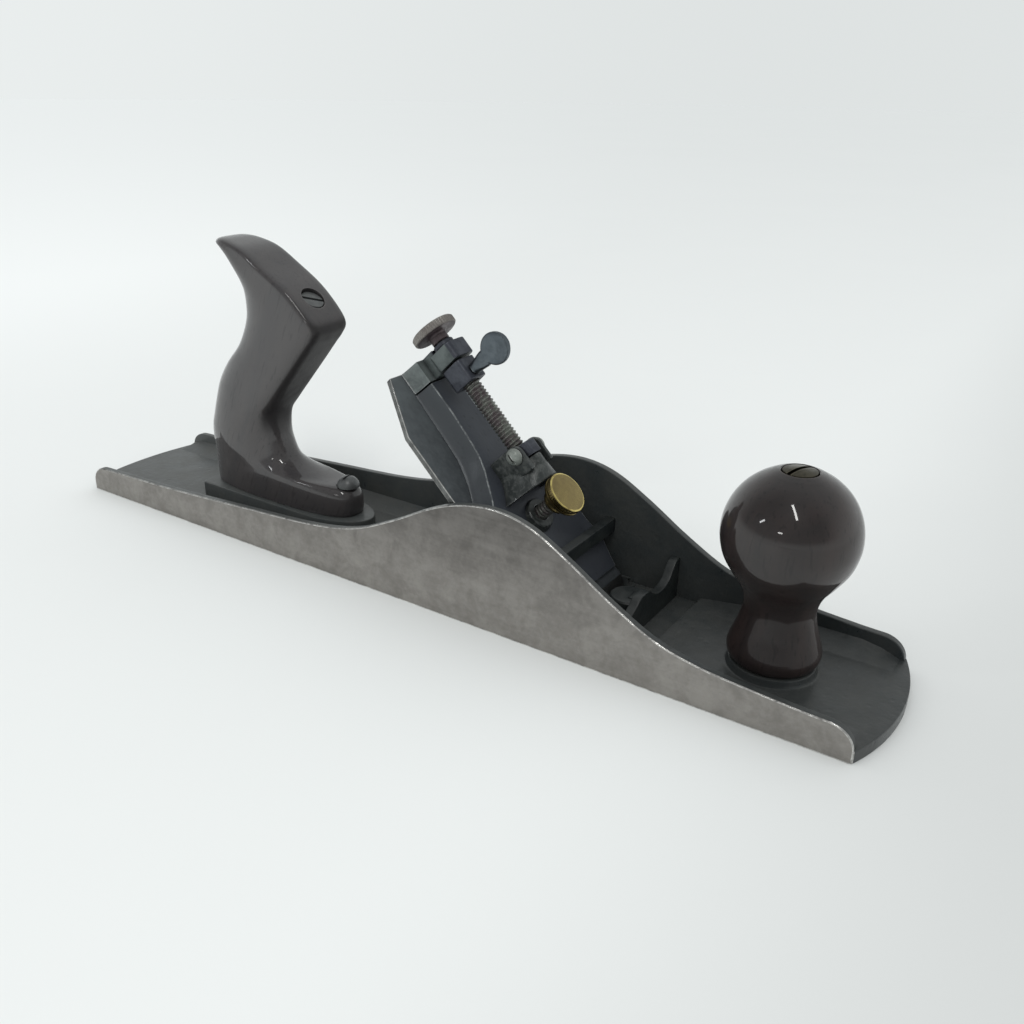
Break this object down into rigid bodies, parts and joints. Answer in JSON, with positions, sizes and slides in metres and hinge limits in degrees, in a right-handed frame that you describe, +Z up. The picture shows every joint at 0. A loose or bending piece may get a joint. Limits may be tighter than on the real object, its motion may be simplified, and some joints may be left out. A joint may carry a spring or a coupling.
{
  "type": "hand plane",
  "caption": "Metal bench plane with a screw-fed cutting iron under a lever cap, an open rear tote and a ball-shaped front knob.",
  "frame": {"origin": "centre of the sole's underside, halfway between the tips of toe and heel", "axes": "+X from heel to toe, +Y across the sole to the left, +Z up from the sole"},
  "size_m": [0.357, 0.0604, 0.1178],
  "materials": {
    "body_casting": "black coating inside, ground bare on the sides and sole",
    "cross_bar": "black coating",
    "knob_boss": "black coating",
    "frog": "black coating",
    "frog_screw_right": "plain",
    "frog_screw_left": "plain",
    "frog_washer_right": "plain",
    "frog_washer_left": "plain",
    "cutter_iron": "dark, bright edges",
    "cap_iron": "dark",
    "cap_iron_screw": "dark",
    "lever_cap": "dark coating, worn bright edges",
    "nut_block": "dark",
    "trunnion_screw_right": "dull",
    "trunnion_screw_left": "dull",
    "clamp_screw": "dull",
    "clamp_thumb_head": "polished",
    "adjuster_screw": "threaded, dull",
    "adjuster_wheel": "knurled, dull",
    "adjuster_bracket": "dull",
    "bracket_rivet": "dull",
    "adjuster_block": "dark",
    "lock_screw": "satin",
    "tote": "dark, high gloss",
    "tote_rod": "plain",
    "tote_nut": "dark",
    "tote_toe_screw": "dull",
    "knob": "dark, high gloss",
    "knob_rod": "plain",
    "knob_nut": "dark, dull"
  },
  "bodies": {
    "body": {"body_casting": "body_casting", "cross_bar": "cross_bar", "knob_boss": "knob_boss", "frog": "frog", "frog_washer_right": "frog_washer_right", "frog_screw_right": "frog_screw_right", "frog_washer_left": "frog_washer_left", "frog_screw_left": "frog_screw_left", "lever_cap": "lever_cap", "nut_block": "nut_block", "trunnion_screw_right": "trunnion_screw_right", "trunnion_screw_left": "trunnion_screw_left", "tote": "tote", "tote_rod": "tote_rod", "tote_nut": "tote_nut", "tote_toe_screw": "tote_toe_screw", "knob": "knob", "knob_rod": "knob_rod", "knob_nut": "knob_nut"},
    "cutter": {"cutter_iron": "cutter_iron", "cap_iron": "cap_iron", "cap_iron_screw": "cap_iron_screw", "adjuster_bracket": "adjuster_bracket", "bracket_rivet": "bracket_rivet", "adjuster_block": "adjuster_block"},
    "adjuster": {"adjuster_screw": "adjuster_screw", "adjuster_wheel": "adjuster_wheel"},
    "lock": {"lock_screw": "lock_screw"},
    "clamp": {"clamp_screw": "clamp_screw", "clamp_thumb_head": "clamp_thumb_head"}
  },
  "joints": [
    {"name": "cutter_feed", "type": "slide", "parent": "body", "child": "cutter", "axis": [0.7071, 0, -0.7071], "range_m": [-0.0054, 0.0006]},
    {"name": "adjuster_turn", "type": "hinge", "parent": "cutter", "child": "adjuster", "pos_m": [0.0116, 0, 0.08312], "axis": [0.7071, 0, -0.7071], "range_deg": [-1390, 155]},
    {"name": "lock_screw_turn", "type": "hinge", "parent": "cutter", "child": "lock", "pos_m": [0.02387, 0, 0.08846], "axis": [0.7071, 0, 0.7071], "range_deg": [-360, 90]},
    {"name": "clamp_screw_turn", "type": "hinge", "parent": "body", "child": "clamp", "pos_m": [0.0554, 0, 0.04278], "axis": [0.7071, 0, 0.7071], "range_deg": [-720, 45]}
  ],
  "couplings": [
    {"joint": "adjuster_turn", "follows": "cutter_feed", "rad_per_m": 4488}
  ]
}
